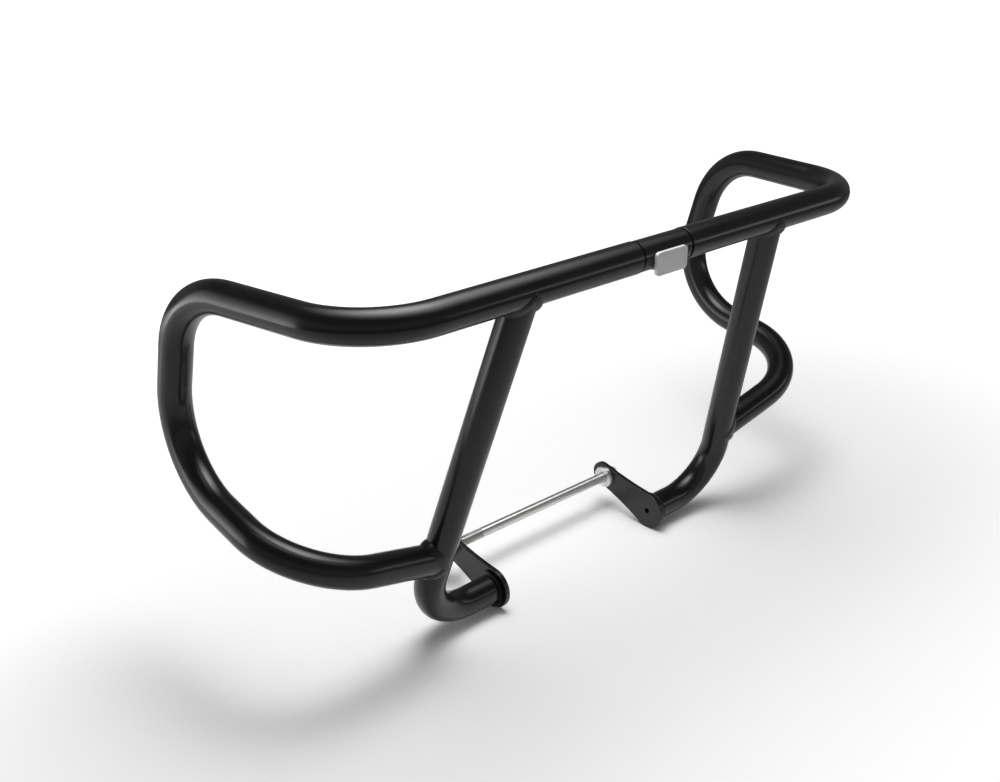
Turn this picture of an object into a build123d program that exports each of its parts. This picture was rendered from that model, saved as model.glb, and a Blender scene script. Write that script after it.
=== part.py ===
# Motorcycle crash bars: two bent side loops on one centre bar, held by a single through bolt.
# Millimetres. X runs across the motorcycle, -Y faces forward and +Z is up.
# The origin is the middle of the through bolt's axis.
import math
import os

from build123d import *

# Tube stock, the same for the loops and the struts
tube_diameter = 28.0
tube_wall = 2.0
loop_bend_radius = 74.5
foot_bend_radius = 51.5

# Centre bar, measured from the bolt's axis
bar_height = 304.5
bar_forward = 144.0
bar_half_span = 303.0

# Corners of a side loop, measured back and down from the centre bar's axis
loop_half_span = 335.0
rear_top_back = 196.5
rear_top_drop = 3.0
rear_low_back = 244.5
rear_low_drop = 172.5
front_low_back = 54.5
front_low_drop = 208.5

# Struts and feet: the foot's axis is measured from the bolt's axis,
# its length from the plate to the corner of the bend
strut_top_half_span = 154.0
foot_forward = 60.0
foot_drop = 17.5
foot_length = 91.5
loop_end_above_bend = 17.5

# Coupler between the two bar halves
band_half_length = 29.0
band_recess = 0.5
groove_width = 2.0
spigot_length = 35.0
spigot_clearance = 0.1
coupler_wall = 5.0
tube_end_round = 0.6

# Blank badge on the front of the coupler
badge_width = 38.0
badge_height = 20.0
badge_drop = 5.0
badge_thickness = 3.0
badge_corner_radius = 3.5
badge_rim = 1.6
badge_field_depth = 0.6
badge_field_corner_radius = 1.9
badge_saddle_inset = 3.5
badge_saddle_depth = 6.5
badge_glue_gap = 0.1

# Mounting plates
plate_gap = 212.0
plate_thickness = 5.0
plate_rim = 5.5
plate_tip_rim = 6.75
plate_tip_past_bolt = 5.5
plate_flank_radius = 340.0
plate_edge_round = 0.8
vent_hole_diameter = 6.0

# Through bolt with its nut, washers and collars
bolt_diameter = 10.0
bolt_hole_clearance = 0.25
thread_core_diameter = 8.4
thread_length = 55.0
thread_clearance = 0.1
bolt_past_nut = 5.6
bolt_end_chamfer = 1.0
hex_shoulder = 2.0
hex_corner_bevel = 0.9
head_height = 5.4
nut_height = 8.4
washer_width = 4.75
washer_thickness = 2.0
collar_width = 6.0
collar_thickness = 4.0
ring_edge_chamfer = 0.4

# Weld beads
weld_root_gap = 0.2
weld_gap = 0.12
weld_mitre_gap = 0.3
weld_leg = 4.4
weld_throat = 2.3
weld_crown = 1.1
foot_weld_leg = 3.5

# Degrees round half a seam, from flank to flank, where a bead's outline is drawn,
# and the degrees at each flank over which it turns from the mitre to stand square on the seam
weld_stations = tuple(range(0, 181, 10))
weld_mitre_turn = 20.0

# Sizes that follow from the ones above
tube_radius = tube_diameter / 2
bore_radius = tube_radius - tube_wall
spigot_radius = bore_radius - spigot_clearance
band_radius = tube_radius - band_recess
bar_inner_end = band_half_length + groove_width
plate_inner = plate_gap / 2
plate_outer = plate_inner + plate_thickness
washer_outer = plate_outer + washer_thickness
nut_outer = washer_outer + nut_height
bolt_end = nut_outer + bolt_past_nut
bolt_radius = bolt_diameter / 2
thread_core_radius = thread_core_diameter / 2
bolt_hole_radius = bolt_radius + bolt_hole_clearance
hex_flat = bolt_radius + hex_shoulder
hex_corner = hex_flat * 2 / math.sqrt(3)
bar_middle = Vector(0, -bar_forward, bar_height)
foot_middle = Vector(0, -foot_forward, -foot_drop)

# Plate outline, seen along X from the foot's axis: a flank arc touches the heel and the tip
bolt_reach = math.hypot(foot_forward, foot_drop)
tip_reach = bolt_reach + plate_tip_past_bolt
tip_radius = bolt_hole_radius + plate_tip_rim
heel_radius = tube_radius + plate_rim
heel_far = heel_radius + plate_flank_radius
tip_far = tip_radius + plate_flank_radius
flank_along = (tip_reach**2 + heel_far**2 - tip_far**2) / (2 * tip_reach)
flank_centre = Vector(flank_along, math.sqrt(heel_far**2 - flank_along**2))
heel_touch = flank_centre * (heel_radius / heel_far)
tip_touch = flank_centre + (Vector(tip_reach, 0) - flank_centre) * (plate_flank_radius / tip_far)
flank_inward = ((heel_touch + tip_touch) / 2 - flank_centre).normalized()
waist = flank_centre + flank_inward * plate_flank_radius
heel_low = Vector(heel_touch.X, -heel_touch.Y)
tip_low = Vector(tip_touch.X, -tip_touch.Y)

os.makedirs("parts", exist_ok=True)


def off_skin(root, way, start, outward, gap):
    """The point, outward from start, that clears the skin of the tube through root along way by gap."""
    off_axis = start - root - way * (start - root).dot(way)
    depth = off_axis.dot(outward)
    return start + outward * (math.sqrt(depth**2 - off_axis.length**2 + (tube_radius + gap) ** 2) - depth)


def saddle_bead(root, main_way, branch_way):
    """Bead along the saddle seam where two tubes of one diameter meet at root, in two mitred runs."""
    across = main_way.cross(branch_way).normalized()
    fork = ((branch_way + main_way).normalized() + (branch_way - main_way).normalized()).normalized()
    skins = []
    with BuildPart() as bead:
        for lean in (1, -1):
            middle = (branch_way + main_way * lean).normalized()
            seam_reach = tube_radius / middle.cross(main_way).length
            rims = []
            for station in weld_stations:
                rise = math.sin(math.radians(station))
                swing = math.cos(math.radians(station))
                from_root = across * (tube_radius * swing) + middle * (seam_reach * rise)
                seam_point = root + from_root
                ahead = (middle * (seam_reach * swing) - across * (tube_radius * rise)).normalized()
                main_out = (from_root - main_way * from_root.dot(main_way)).normalized()
                branch_out = (from_root - branch_way * from_root.dot(branch_way)).normalized()
                face_out = (main_out + branch_out).normalized()
                square = min(station, 180 - station, weld_mitre_turn) / weld_mitre_turn
                gap = weld_gap * square + weld_mitre_gap * (1 - square)
                mitre_leg = fork * (weld_leg * math.sqrt(2) * (1 - square))
                main_leg = ahead.cross(main_out) * (lean * weld_leg * square) - mitre_leg
                branch_leg = branch_out.cross(ahead) * (lean * weld_leg * square) + mitre_leg
                corner = seam_point + face_out * (gap / face_out.dot(main_out))
                crest = seam_point + face_out * (gap + weld_crown + weld_throat * rise)
                main_middle = off_skin(root, main_way, seam_point + main_leg / 2, main_out, gap)
                main_toe = off_skin(root, main_way, seam_point + main_leg, main_out, gap)
                branch_middle = off_skin(root, branch_way, seam_point + branch_leg / 2, branch_out, gap)
                branch_toe = off_skin(root, branch_way, seam_point + branch_leg, branch_out, gap)
                with BuildLine(mode=Mode.PRIVATE) as rim:
                    Spline(corner, main_middle, main_toe)
                    Spline(main_toe, crest, branch_toe)
                    Spline(branch_toe, branch_middle, corner)
                rims.append(rim.wire())
            skins += Solid.make_loft(rims, ruled=True).faces().filter_by(GeomType.PLANE, reverse=True)
        add(Solid(Shell(skins)))
    return bead


for side_name, side in (("left", -1), ("right", 1)):
    bar_start = bar_middle + Vector(side * bar_inner_end, 0, 0)
    front_top = bar_middle + Vector(side * bar_half_span, 0, 0)
    rear_top = bar_middle + Vector(side * loop_half_span, rear_top_back, -rear_top_drop)
    rear_low = bar_middle + Vector(side * loop_half_span, rear_low_back, -rear_low_drop)
    front_low = bar_middle + Vector(side * loop_half_span, front_low_back, -front_low_drop)
    strut_top = bar_middle + Vector(side * strut_top_half_span, 0, 0)
    strut_knee = foot_middle + Vector(side * (plate_outer + foot_length), 0, 0)
    foot_end = foot_middle + Vector(side * plate_outer, 0, 0)
    strut_way = (strut_knee - strut_top).normalized()
    half_turn = math.radians(strut_way.get_angle(foot_end - strut_knee) / 2)
    bend_reach = foot_bend_radius * math.tan(half_turn)
    loop_end = strut_knee - strut_way * (bend_reach + loop_end_above_bend)
    loop_end_way = (front_low - loop_end).normalized()

    # Strut: bent tube, coped under the bar and cut square on the plate
    with BuildPart() as strut:
        with BuildLine() as strut_line:
            FilletPolyline(strut_top, strut_knee, foot_end, radius=foot_bend_radius)
        with BuildSketch(Plane(strut_line.line @ 0, z_dir=strut_line.line % 0)):
            Circle(tube_radius)
            Circle(bore_radius, mode=Mode.SUBTRACT)
        sweep()
        with BuildSketch(Plane(strut_top, x_dir=(0, 1, 0), z_dir=(1, 0, 0))):
            Circle(tube_radius + weld_root_gap)
        extrude(amount=tube_diameter * 2, both=True, mode=Mode.SUBTRACT)
    strut.part.label = side_name + "_strut"
    export_step(strut.part, "parts/" + side_name + "_strut.step")

    # Bar half and side loop: one tube with four bends, its low end coped on to the strut
    with BuildPart() as bar:
        with BuildLine() as bar_line:
            FilletPolyline(
                bar_start, front_top, rear_top, rear_low, front_low, loop_end, radius=loop_bend_radius
            )
        with BuildSketch(Plane(bar_line.line @ 0, z_dir=bar_line.line % 0)):
            Circle(tube_radius)
            Circle(bore_radius, mode=Mode.SUBTRACT)
        sweep()
        with BuildSketch(Plane(loop_end - strut_way * tube_diameter * 2, z_dir=strut_way)):
            Circle(tube_radius + weld_root_gap)
        extrude(amount=tube_diameter * 4, mode=Mode.SUBTRACT)
        fillet(bar.edges().filter_by(GeomType.CIRCLE).sort_by_distance(bar_start)[1], tube_end_round)
    bar.part.label = side_name + "_bar"
    export_step(bar.part, "parts/" + side_name + "_bar.step")

    # Beads at the strut's top and at the loop's end
    top_bead = saddle_bead(strut_top, Vector(side, 0, 0), strut_way)
    top_bead.part.label = side_name + "_strut_top_weld"
    export_step(top_bead.part, "parts/" + side_name + "_strut_top_weld.step")

    loop_bead = saddle_bead(loop_end, strut_way, loop_end_way)
    loop_bead.part.label = side_name + "_loop_weld"
    export_step(loop_bead.part, "parts/" + side_name + "_loop_weld.step")

    # Plate: big end round the foot, small end past the bolt, hollow flanks between
    plate_way = Vector(0, foot_forward, foot_drop).normalized()
    plate_face = Plane(foot_middle + Vector(side * plate_inner, 0, 0), x_dir=plate_way, z_dir=(side, 0, 0))
    with BuildPart() as plate:
        with BuildSketch(plate_face):
            with BuildLine():
                ThreePointArc(heel_touch, (-heel_radius, 0), heel_low)
                ThreePointArc(heel_low, (waist.X, -waist.Y), tip_low)
                ThreePointArc(tip_low, (tip_reach + tip_radius, 0), tip_touch)
                ThreePointArc(tip_touch, waist, heel_touch)
            make_face()
        extrude(amount=plate_thickness)
        fillet(plate.faces().filter_by(Axis.X).edges(), plate_edge_round)
        with BuildSketch(plate_face):
            Circle(vent_hole_diameter / 2)
            with Locations((bolt_reach, 0)):
                Circle(bolt_hole_radius)
        extrude(amount=plate_thickness, mode=Mode.SUBTRACT)
    plate.part.label = side_name + "_plate"
    export_step(plate.part, "parts/" + side_name + "_plate.step")

    # Fillet ring between the foot and its plate
    with BuildPart() as foot_bead:
        with BuildSketch(Plane(foot_end, x_dir=(side, 0, 0), z_dir=(0, -1, 0))):
            with Locations((0, tube_radius)):
                Triangle(a=foot_weld_leg, b=foot_weld_leg, C=90, align=(Align.MIN, Align.MIN))
        revolve(axis=Axis(foot_end, (1, 0, 0)))
    foot_bead.part.label = side_name + "_plate_weld"
    export_step(foot_bead.part, "parts/" + side_name + "_plate_weld.step")

    # Collar that spaces the plate from the motorcycle
    with BuildPart() as collar:
        with BuildSketch(Plane.YZ.offset(side * plate_inner)):
            Circle(bolt_hole_radius + collar_width)
            Circle(bolt_hole_radius, mode=Mode.SUBTRACT)
        extrude(amount=-side * collar_thickness)
        chamfer(collar.edges().filter_by(GeomType.CIRCLE), ring_edge_chamfer)
    collar.part.label = side_name + "_collar"
    export_step(collar.part, "parts/" + side_name + "_collar.step")

# Coupler: a recessed band between two grooves, with a spigot in each bar half
with BuildPart() as centre_joint:
    with BuildSketch(Plane.YZ):
        with Locations((bar_middle.Y, bar_middle.Z)):
            Circle(spigot_radius)
    extrude(amount=bar_inner_end + spigot_length, both=True)
    chamfer(centre_joint.edges().filter_by(GeomType.CIRCLE), ring_edge_chamfer)
    with BuildSketch(Plane.YZ):
        with Locations((bar_middle.Y, bar_middle.Z)):
            Circle(band_radius)
    extrude(amount=band_half_length, both=True)
    with BuildSketch(Plane.YZ):
        with Locations((bar_middle.Y, bar_middle.Z)):
            Circle(spigot_radius - coupler_wall)
    extrude(amount=bar_inner_end + spigot_length, both=True, mode=Mode.SUBTRACT)
centre_joint.part.label = "centre_joint"
export_step(centre_joint.part, "parts/centre_joint.step")

# Badge: a rimmed plate with a saddle back that fits the band
badge_face = bar_middle + Vector(0, -band_radius - badge_glue_gap - badge_thickness, -badge_drop)
badge_field_width = badge_width - 2 * badge_rim
badge_field_height = badge_height - 2 * badge_rim
with BuildPart() as badge:
    with BuildSketch(Plane(badge_face, x_dir=(1, 0, 0), z_dir=(0, -1, 0))):
        RectangleRounded(badge_width, badge_height, badge_corner_radius)
    extrude(amount=-badge_thickness)
    with BuildSketch(Plane(badge_face, x_dir=(1, 0, 0), z_dir=(0, -1, 0))):
        RectangleRounded(badge_field_width, badge_field_height, badge_field_corner_radius)
    extrude(amount=-badge_field_depth, mode=Mode.SUBTRACT)
    with BuildSketch(Plane(badge_face, x_dir=(1, 0, 0), z_dir=(0, -1, 0)).offset(-badge_thickness)):
        Rectangle(badge_width - 2 * badge_saddle_inset, badge_height - 2 * badge_saddle_inset)
    extrude(amount=-badge_saddle_depth)
    with BuildSketch(Plane.YZ):
        with Locations((bar_middle.Y, bar_middle.Z)):
            Circle(band_radius + badge_glue_gap)
    extrude(amount=badge_width, both=True, mode=Mode.SUBTRACT)
badge.part.label = "badge"
export_step(badge.part, "parts/badge.step")

# Through bolt: hexagon head on the right, and the thread's core on the left
head_seat = washer_outer
head_top = head_seat + head_height
with BuildPart() as through_bolt:
    with BuildSketch(Plane.YZ.offset(head_seat)):
        RegularPolygon(hex_flat, 6, major_radius=False)
    extrude(amount=head_height)
    with BuildSketch(Plane.XZ):
        with BuildLine():
            Polyline(
                (head_seat, 0),
                (head_seat, hex_corner),
                (head_top - hex_corner_bevel, hex_corner),
                (head_top, hex_flat - hex_corner_bevel / 2),
                (head_top, 0),
                close=True,
            )
        make_face()
    revolve(axis=Axis.X, mode=Mode.INTERSECT)
    with BuildSketch(Plane.YZ.offset(head_seat)):
        Circle(bolt_radius)
    extrude(amount=-(head_seat + bolt_end - thread_length))
    with BuildSketch(Plane.YZ.offset(-bolt_end)):
        Circle(thread_core_radius)
    extrude(amount=thread_length)
    chamfer(through_bolt.edges().filter_by(GeomType.CIRCLE).sort_by(Axis.X)[0], bolt_end_chamfer)
through_bolt.part.label = "through_bolt"
export_step(through_bolt.part, "parts/through_bolt.step")

# Nut on the left, bevelled on both ends
with BuildPart() as bolt_nut:
    with BuildSketch(Plane.YZ.offset(-nut_outer)):
        RegularPolygon(hex_flat, 6, major_radius=False)
    extrude(amount=nut_height)
    with BuildSketch(Plane.XZ):
        with BuildLine():
            Polyline(
                (-nut_outer, 0),
                (-nut_outer, hex_flat - hex_corner_bevel / 2),
                (-nut_outer + hex_corner_bevel, hex_corner),
                (-washer_outer - hex_corner_bevel, hex_corner),
                (-washer_outer, hex_flat - hex_corner_bevel / 2),
                (-washer_outer, 0),
                close=True,
            )
        make_face()
    revolve(axis=Axis.X, mode=Mode.INTERSECT)
    with BuildSketch(Plane.YZ.offset(-nut_outer)):
        Circle(thread_core_radius + thread_clearance)
    extrude(amount=nut_height, mode=Mode.SUBTRACT)
bolt_nut.part.label = "bolt_nut"
export_step(bolt_nut.part, "parts/bolt_nut.step")

# Plain washers under the head and the nut
for washer_name, side in (("head_washer", 1), ("nut_washer", -1)):
    with BuildPart() as washer:
        with BuildSketch(Plane.YZ.offset(side * plate_outer)):
            Circle(bolt_hole_radius + washer_width)
            Circle(bolt_hole_radius, mode=Mode.SUBTRACT)
        extrude(amount=side * washer_thickness)
        chamfer(washer.edges().filter_by(GeomType.CIRCLE).group_by(SortBy.RADIUS)[-1], ring_edge_chamfer)
    washer.part.label = washer_name
    export_step(washer.part, "parts/" + washer_name + ".step")
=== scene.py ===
# Motorcycle crash bars: the looks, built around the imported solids.
# Metres, +Z up, -Y forward; the origin is the middle of the through bolt.
import math

import bmesh
import bpy
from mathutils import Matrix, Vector


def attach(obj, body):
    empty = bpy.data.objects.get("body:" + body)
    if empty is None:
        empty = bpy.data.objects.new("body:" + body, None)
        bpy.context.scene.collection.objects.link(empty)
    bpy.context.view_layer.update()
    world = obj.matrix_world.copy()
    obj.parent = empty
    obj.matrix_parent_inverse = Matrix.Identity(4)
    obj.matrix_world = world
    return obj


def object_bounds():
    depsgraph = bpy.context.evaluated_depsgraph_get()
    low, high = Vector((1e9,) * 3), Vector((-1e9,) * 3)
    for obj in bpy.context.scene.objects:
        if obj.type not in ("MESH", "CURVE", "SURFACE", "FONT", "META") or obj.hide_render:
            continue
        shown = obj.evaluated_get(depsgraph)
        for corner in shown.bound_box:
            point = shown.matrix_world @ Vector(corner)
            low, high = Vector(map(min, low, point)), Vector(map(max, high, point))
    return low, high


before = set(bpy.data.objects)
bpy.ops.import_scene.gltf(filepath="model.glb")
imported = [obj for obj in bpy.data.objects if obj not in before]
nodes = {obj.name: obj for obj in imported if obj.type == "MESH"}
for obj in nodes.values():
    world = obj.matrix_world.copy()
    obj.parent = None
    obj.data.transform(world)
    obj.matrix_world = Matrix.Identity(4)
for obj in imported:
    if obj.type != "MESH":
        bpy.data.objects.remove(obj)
cad_low, cad_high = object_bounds()

# Bars and struts: 28 mm steel tube, bent cold and powder coated in satin black.
# The coat lies a little uneven, like fine orange peel, and carries a few dull patches.
# Noise is given in cycles per metre, and its useful values lie between noise_low and noise_high.
noise_low = 0.3
noise_high = 0.7
patch_cycles = 22
peel_cycles = 900
peel_height = 0.0001
coat_specular = 0.40


def new_material(name):
    """A material with its shader node, ready to be wired."""
    material = bpy.data.materials.new(name)
    material.use_nodes = True
    tree = material.node_tree
    return material, tree, tree.nodes["Principled BSDF"]


def object_noise(tree, cycles, detail, stretch=(1, 1, 1)):
    """Noise on Object coordinates, drawn out along the axes whose stretch is small."""
    coordinates = tree.nodes.new("ShaderNodeTexCoord")
    mapping = tree.nodes.new("ShaderNodeMapping")
    noise = tree.nodes.new("ShaderNodeTexNoise")
    mapping.inputs["Scale"].default_value = stretch
    noise.inputs["Scale"].default_value = cycles
    noise.inputs["Detail"].default_value = detail
    tree.links.new(coordinates.outputs["Object"], mapping.inputs["Vector"])
    tree.links.new(mapping.outputs["Vector"], noise.inputs["Vector"])
    return noise


def spread(tree, noise, low, high):
    """Map a noise factor on to a range of values."""
    span = tree.nodes.new("ShaderNodeMapRange")
    span.inputs["From Min"].default_value = noise_low
    span.inputs["From Max"].default_value = noise_high
    span.inputs["To Min"].default_value = low
    span.inputs["To Max"].default_value = high
    tree.links.new(noise.outputs["Fac"], span.inputs["Value"])
    return span


def tint(tree, noise, dark, light):
    """Shade between two colours by a noise factor."""
    ramp = tree.nodes.new("ShaderNodeValToRGB")
    ramp.color_ramp.elements[0].position = noise_low
    ramp.color_ramp.elements[1].position = noise_high
    ramp.color_ramp.elements[0].color = (*dark, 1)
    ramp.color_ramp.elements[1].color = (*light, 1)
    tree.links.new(noise.outputs["Fac"], ramp.inputs["Fac"])
    return ramp


def vary(tree, shader, noise, dark, light, smooth, dull):
    """Let one noise vary a shader's colour and roughness."""
    shade = tint(tree, noise, dark, light)
    tree.links.new(shade.outputs["Color"], shader.inputs["Base Color"])
    gloss = spread(tree, noise, smooth, dull)
    tree.links.new(gloss.outputs["Result"], shader.inputs["Roughness"])


def powder_coat(name, dark, light, smooth, dull, peel):
    """Satin black powder coat; peel is the strength of its fine bumps."""
    material, tree, shader = new_material(name)
    shader.inputs["Specular IOR Level"].default_value = coat_specular
    vary(tree, shader, object_noise(tree, patch_cycles, 3), dark, light, smooth, dull)
    bump = tree.nodes.new("ShaderNodeBump")
    bump.inputs["Distance"].default_value = peel_height
    bump.inputs["Strength"].default_value = peel
    bumps = object_noise(tree, peel_cycles, 2)
    tree.links.new(bumps.outputs["Fac"], bump.inputs["Height"])
    tree.links.new(bump.outputs["Normal"], shader.inputs["Normal"])
    return material


def dress(material, *names):
    """Give CAD nodes a finish."""
    for name in names:
        slots = nodes[name].data.materials
        slots.clear()
        slots.append(material)


tube_coat = powder_coat(
    "tube_coat", dark=(0.0066, 0.0066, 0.0070), light=(0.0084, 0.0084, 0.0088),
    smooth=0.20, dull=0.24, peel=0.02,
)
dress(tube_coat, "left_bar", "right_bar", "left_strut", "right_strut")

# Welds: fillet beads round the strut tops and the loop ends, and rings at the plates.
# They are coated with the tubes, and the coat lies thicker there: a little duller on the loop ends,
# and dullest in the tight corners under the bar and round the feet.
weld_dark = (0.007, 0.007, 0.0075)
weld_light = (0.010, 0.010, 0.0105)
weld_coat = powder_coat("weld_coat", weld_dark, weld_light, smooth=0.22, dull=0.28, peel=0.05)
dress(weld_coat, "left_loop_weld", "right_loop_weld")
corner_coat = powder_coat("corner_coat", weld_dark, weld_light, smooth=0.40, dull=0.48, peel=0.05)
dress(corner_coat, "left_strut_top_weld", "right_strut_top_weld")
# The rings round the feet are painted paler than the other welds. This is painted light, standing in
# for the light that the rings catch in their corners.
ring_coat_painted_light = powder_coat(
    "ring_coat_painted_light", dark=(0.011, 0.011, 0.0115), light=(0.015, 0.015, 0.0155),
    smooth=0.32, dull=0.40, peel=0.05,
)
dress(ring_coat_painted_light, "left_plate_weld", "right_plate_weld")

# Coupler: a turned steel sleeve between the bar halves, with a spigot in each bore.
# It is coated black with the tubes and is as smooth as they are.
coupler_coat = powder_coat(
    "coupler_coat", dark=(0.007, 0.007, 0.0075), light=(0.009, 0.009, 0.0095),
    smooth=0.20, dull=0.24, peel=0.02,
)
dress(coupler_coat, "centre_joint")

# Badge: a blank plate with a raised rim, die cast in aluminium and left bare of any mark.
# It is brushed along its length under a pale silver lacquer, and held on the coupler by its back.
badge_metal = 0.25
brush_cycles = 1500
brush_stretch = (0.1, 1, 1)
badge_silver, tree, shader = new_material("badge_silver")
shader.inputs["Metallic"].default_value = badge_metal
vary(
    tree, shader, object_noise(tree, brush_cycles, 2, brush_stretch),
    dark=(0.72, 0.72, 0.72), light=(0.80, 0.80, 0.80), smooth=0.28, dull=0.40,
)
dress(badge_silver, "badge")

# Plates: 5 mm steel, cut to a pear shape and coated with the rest.
# The flat faces hold a slightly coarser coat than the tubes.
plate_coat = powder_coat(
    "plate_coat", dark=(0.0075, 0.0075, 0.0080), light=(0.0100, 0.0100, 0.0105),
    smooth=0.22, dull=0.28, peel=0.05,
)
dress(plate_coat, "left_plate", "right_plate")

# Through bolt, nut, washers and collars: bright zinc on turned steel.
# The fine turning marks run round the shank, so its shine is drawn out along it.
zinc_metal = 0.9
turned_shine = 0.9
quarter_turn = 0.25
turning_cycles = 400
turning_stretch = (1, 0.1, 0.1)


def zinc_plate(name, dark, light, smooth, dull):
    """Zinc over turned steel, with the marks running round the X axis."""
    material, tree, shader = new_material(name)
    shader.inputs["Metallic"].default_value = zinc_metal
    shader.inputs["Anisotropic"].default_value = turned_shine
    shader.inputs["Anisotropic Rotation"].default_value = quarter_turn
    around = tree.nodes.new("ShaderNodeTangent")
    around.direction_type = "RADIAL"
    around.axis = "X"
    tree.links.new(around.outputs["Tangent"], shader.inputs["Tangent"])
    marks = object_noise(tree, turning_cycles, 2, turning_stretch)
    vary(tree, shader, marks, dark, light, smooth, dull)
    return material


bright_zinc = zinc_plate(
    "bright_zinc", dark=(0.63, 0.63, 0.62), light=(0.69, 0.69, 0.68), smooth=0.33, dull=0.37
)
dress(bright_zinc, "through_bolt", "bolt_nut", "head_washer", "nut_washer")
dress(bright_zinc, "left_collar", "right_collar")

# Bolt thread: an M10 thread rolled on the shank's left end, 1.5 mm to the turn.
# It shows between the collar and the plain shank and again past the nut, which hides the rest.
thread_pitch = 0.0015
thread_crest = 0.0050
thread_root = 0.00415
crest_half = 0.00012
root_half = 0.00066
thread_steps = 36
shank_thread_start = -0.0730
shank_thread_turns = 26
end_thread_start = -0.1222
end_thread_turns = 2
thread_zinc = zinc_plate(
    "thread_zinc", dark=(0.58, 0.58, 0.57), light=(0.65, 0.65, 0.64), smooth=0.36, dull=0.44
)


def thread_coil(start, turns):
    """A ridge wound round the X axis from start towards -X."""
    shape = bmesh.new()
    outline = (
        (-root_half, thread_root), (-crest_half, thread_crest),
        (crest_half, thread_crest), (root_half, thread_root),
    )
    rim = [shape.verts.new((start + along, 0, radius)) for along, radius in outline]
    section = shape.faces.new(rim)
    bmesh.ops.spin(
        shape, geom=[section, *section.edges, *rim], cent=(0, 0, 0), axis=(1, 0, 0),
        dvec=(-thread_pitch / thread_steps, 0, 0), angle=math.tau * turns,
        steps=thread_steps * turns, use_merge=False, use_duplicate=False,
    )
    return shape


def add_piece(name, shape, material):
    """Turn a mesh in progress into a piece that rides with the guard."""
    bmesh.ops.recalc_face_normals(shape, faces=shape.faces)
    mesh = bpy.data.meshes.new(name)
    shape.to_mesh(mesh)
    shape.free()
    mesh.materials.append(material)
    piece = bpy.data.objects.new(name, mesh)
    bpy.context.scene.collection.objects.link(piece)
    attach(piece, "root")


shank_coil = thread_coil(shank_thread_start, shank_thread_turns)
add_piece("bolt_thread", shank_coil, thread_zinc)
end_coil = thread_coil(end_thread_start, end_thread_turns)
add_piece("bolt_end_thread", end_coil, thread_zinc)

# Floor: a wide sheet of matt white paper under the feet, which keeps the part's shadow.
# Seen by the camera or in reflections it is a little paler than in the light that it gives back.
# To the camera alone it also fades to plain white, in an oval round the part.
floor_half = 15.0
paper_white = (0.90, 0.90, 0.90, 1)
extra_white = (0.22, 0.22, 0.22, 1)
oval_scale = (1.145, 1.573, 0)
oval_centre = (-0.063, -0.076, 0)
fade_start = 0.113
fade_end = 1.738
floor_mesh = bpy.data.meshes.new("floor")
shape = bmesh.new()
bmesh.ops.create_grid(shape, x_segments=1, y_segments=1, size=floor_half)
bmesh.ops.translate(shape, vec=(0, 0, cad_low.z), verts=shape.verts)
shape.to_mesh(floor_mesh)
shape.free()
floor = bpy.data.objects.new("floor", floor_mesh)
bpy.context.scene.collection.objects.link(floor)

floor_white = bpy.data.materials.new("floor_white")
floor_white.use_nodes = True
tree = floor_white.node_tree
tree.nodes.clear()
ray = tree.nodes.new("ShaderNodeLightPath")

coordinates = tree.nodes.new("ShaderNodeTexCoord")
oval = tree.nodes.new("ShaderNodeMapping")
oval.inputs["Scale"].default_value = oval_scale
tree.links.new(coordinates.outputs["Object"], oval.inputs["Vector"])
away = tree.nodes.new("ShaderNodeVectorMath")
away.operation = "DISTANCE"
away.inputs[1].default_value = oval_centre
tree.links.new(oval.outputs["Vector"], away.inputs[0])
fade = tree.nodes.new("ShaderNodeMapRange")
fade.interpolation_type = "SMOOTHSTEP"
fade.inputs["From Min"].default_value = fade_start
fade.inputs["From Max"].default_value = fade_end
tree.links.new(away.outputs["Value"], fade.inputs["Value"])
glow = tree.nodes.new("ShaderNodeMath")
glow.operation = "MULTIPLY"
tree.links.new(fade.outputs["Result"], glow.inputs[0])
tree.links.new(ray.outputs["Is Camera Ray"], glow.inputs[1])
white = tree.nodes.new("ShaderNodeEmission")
tree.links.new(glow.outputs["Value"], white.inputs["Strength"])

paper = tree.nodes.new("ShaderNodeBsdfDiffuse")
paper.inputs["Color"].default_value = paper_white
paler = tree.nodes.new("ShaderNodeBsdfDiffuse")
paler.inputs["Color"].default_value = extra_white
seen = ray.outputs["Is Camera Ray"]
for mirrored in ("Is Glossy Ray", "Is Transmission Ray"):
    either = tree.nodes.new("ShaderNodeMath")
    either.operation = "MAXIMUM"
    tree.links.new(seen, either.inputs[0])
    tree.links.new(ray.outputs[mirrored], either.inputs[1])
    seen = either.outputs["Value"]
only_seen = tree.nodes.new("ShaderNodeMixShader")
tree.links.new(seen, only_seen.inputs["Fac"])
tree.links.new(paler.outputs["BSDF"], only_seen.inputs[2])
sheet = tree.nodes.new("ShaderNodeAddShader")
tree.links.new(paper.outputs["BSDF"], sheet.inputs[0])
tree.links.new(only_seen.outputs["Shader"], sheet.inputs[1])
both = tree.nodes.new("ShaderNodeAddShader")
tree.links.new(sheet.outputs["Shader"], both.inputs[0])
tree.links.new(white.outputs["Emission"], both.inputs[1])
done = tree.nodes.new("ShaderNodeOutputMaterial")
tree.links.new(both.outputs["Shader"], done.inputs["Surface"])
floor_mesh.materials.append(floor_white)

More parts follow.
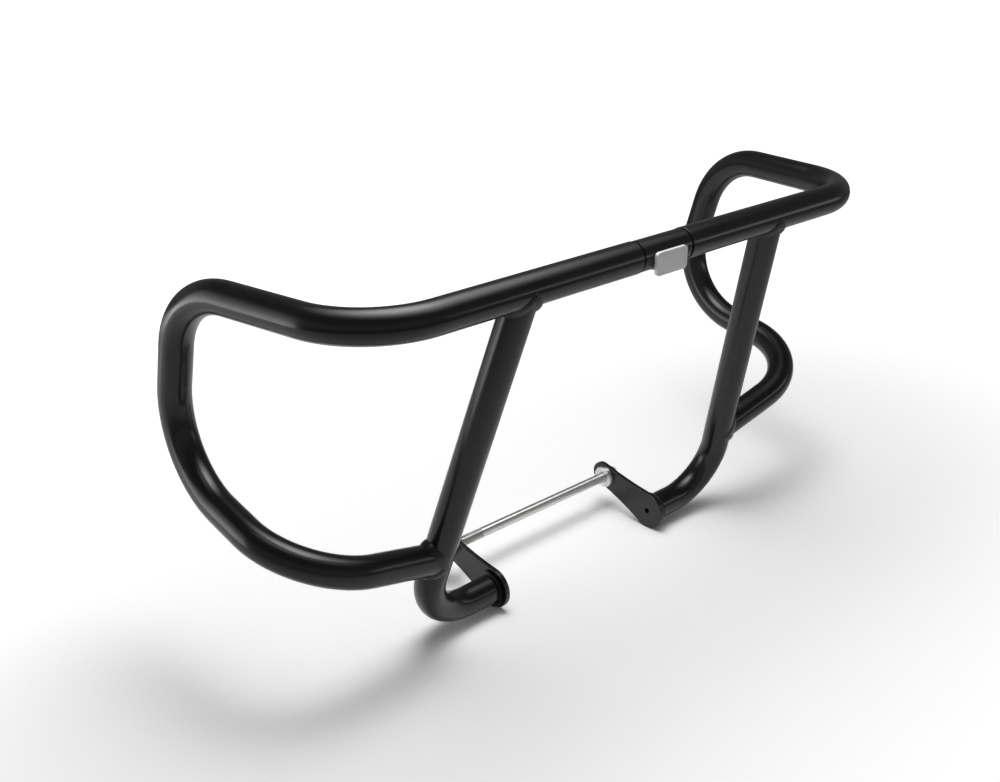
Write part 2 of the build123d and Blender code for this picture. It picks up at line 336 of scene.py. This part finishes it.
# Walls: plain white to the camera, as the photograph was cut out on white.
# The coat and the zinc mirror the real studio: grey walls that darken with height and to the right.
# In a world, Generated is the direction of the look, so its Z runs from 0 at the horizon to 1 above.
wall_foot = (0.28, 0.28, 0.28, 1)
wall_top = (0.06, 0.06, 0.06, 1)
foot_rise = 0.25
top_rise = 0.65
dark_side = (0.94, 0.34, 0)
dark_side_from = -0.3
dark_side_to = 0.5
lit_strength = 1.1
dark_strength = 0.5
world = bpy.data.worlds.new("studio")
bpy.context.scene.world = world
world.use_nodes = True
tree = world.node_tree
tree.nodes.clear()
coordinates = tree.nodes.new("ShaderNodeTexCoord")
parts = tree.nodes.new("ShaderNodeSeparateXYZ")
tree.links.new(coordinates.outputs["Generated"], parts.inputs["Vector"])
grade = tree.nodes.new("ShaderNodeValToRGB")
grade.color_ramp.elements[0].position = foot_rise
grade.color_ramp.elements[0].color = wall_foot
grade.color_ramp.elements[1].position = top_rise
grade.color_ramp.elements[1].color = wall_top
tree.links.new(parts.outputs["Z"], grade.inputs["Fac"])
turned = tree.nodes.new("ShaderNodeVectorMath")
turned.operation = "DOT_PRODUCT"
turned.inputs[1].default_value = dark_side
tree.links.new(coordinates.outputs["Generated"], turned.inputs[0])
dim = tree.nodes.new("ShaderNodeMapRange")
dim.inputs["From Min"].default_value = dark_side_from
dim.inputs["From Max"].default_value = dark_side_to
dim.inputs["To Min"].default_value = lit_strength
dim.inputs["To Max"].default_value = dark_strength
tree.links.new(turned.outputs["Value"], dim.inputs["Value"])
walls = tree.nodes.new("ShaderNodeBackground")
tree.links.new(grade.outputs["Color"], walls.inputs["Color"])
tree.links.new(dim.outputs["Result"], walls.inputs["Strength"])
white = tree.nodes.new("ShaderNodeBackground")
white.inputs["Color"].default_value = (1, 1, 1, 1)
ray = tree.nodes.new("ShaderNodeLightPath")
which = tree.nodes.new("ShaderNodeMixShader")
tree.links.new(ray.outputs["Is Camera Ray"], which.inputs["Fac"])
tree.links.new(walls.outputs["Background"], which.inputs[1])
tree.links.new(white.outputs["Background"], which.inputs[2])
done = tree.nodes.new("ShaderNodeOutputWorld")
tree.links.new(which.outputs["Shader"], done.inputs["Surface"])


# Lamps: a round soft lamp overhead, a soft box that stands on the floor at the back left with a spill
# of light to its right, and a low strip at the front right. Each was found from its mirror image in the
# tubes. A lamp that fades towards its rim or its top is built from several plain ones.
def soft_light(name, shape, place, aim, width, height, glow):
    """An area light at a place, turned to an aim; glow is its radiance, where white paper is 1."""
    lamp = bpy.data.lights.new(name, "AREA")
    lamp.shape = shape
    lamp.size = width
    lamp.size_y = height
    area = width * height * (math.pi / 4 if shape == "ELLIPSE" else 1)
    lamp.energy = glow * area * math.pi
    holder = bpy.data.objects.new(name, lamp)
    holder.location = place
    holder.rotation_euler = (Vector(place) - Vector(aim)).to_track_quat("Z", "Y").to_euler()
    bpy.context.scene.collection.objects.link(holder)


# The discs hang a centimetre apart, because two in one plane would hide each other in reflections.
lamp_y = -0.03
lamp_discs = (
    {"x": 0.09, "z": 0.89, "width": 1.30, "depth": 1.10, "glow": 0.46},
    {"x": 0.03, "z": 0.88, "width": 1.02, "depth": 0.90, "glow": 0.71},
    {"x": -0.01, "z": 0.87, "width": 0.78, "depth": 0.70, "glow": 1.55},
    {"x": -0.06, "z": 0.86, "width": 0.53, "depth": 0.47, "glow": 2.4},
    {"x": -0.07, "z": 0.85, "width": 0.32, "depth": 0.29, "glow": 2.5},
)
for disc in lamp_discs:
    place = (disc["x"], lamp_y, disc["z"])
    below = (disc["x"], lamp_y, 0)
    soft_light("high_light", "ELLIPSE", place, below, disc["width"], disc["depth"], disc["glow"])

box_x = -1.03
box_y = 0.57
box_aim_y = -0.05
box_width = 0.62
box_first_height = 0.03
box_strip = 0.12
box_glows = (3.2, 3.3, 2.35, 1.5, 0.97, 0.6, 0.3)
for row, glow in enumerate(box_glows):
    height = box_first_height + row * box_strip
    place = (box_x, box_y, height)
    soft_light("left_box", "RECTANGLE", place, (0, box_aim_y, height), box_width, box_strip, glow)

spill_height = 0.076
spill_aim = (-0.1, -0.13, spill_height)
spill_width = 0.17
spill_rise = 0.12
for x, y, glow in ((-0.79, 0.725, 2.9), (-0.65, 0.82, 1.6), (-0.49, 0.897, 0.7)):
    place = (x, y, spill_height)
    soft_light("left_spill", "RECTANGLE", place, spill_aim, spill_width, spill_rise, glow)

strip_place = (0.95, -0.95, 0.37)
strip_aim = (0.05, -0.10, 0.22)
soft_light("front_strip", "RECTANGLE", strip_place, strip_aim, width=0.9, height=0.16, glow=1.55)

# Camera: placed by fitting the tubes' outlines in the photograph.
# The lens is the fitted focal length on a 36 mm wide sensor.
camera_place = (-0.74948, -0.76955, 0.59896)
camera_dip = 23.5781
camera_turn = -42.4189
camera = bpy.data.cameras.new("camera")
camera.sensor_fit = "HORIZONTAL"
camera.sensor_width = 36.0
camera.lens = 43.381
viewer = bpy.data.objects.new("camera", camera)
viewer.location = camera_place
viewer.rotation_euler = (math.radians(90 - camera_dip), 0, math.radians(camera_turn))
bpy.context.scene.collection.objects.link(viewer)
bpy.context.scene.camera = viewer
bpy.context.scene.view_settings.view_transform = "Standard"
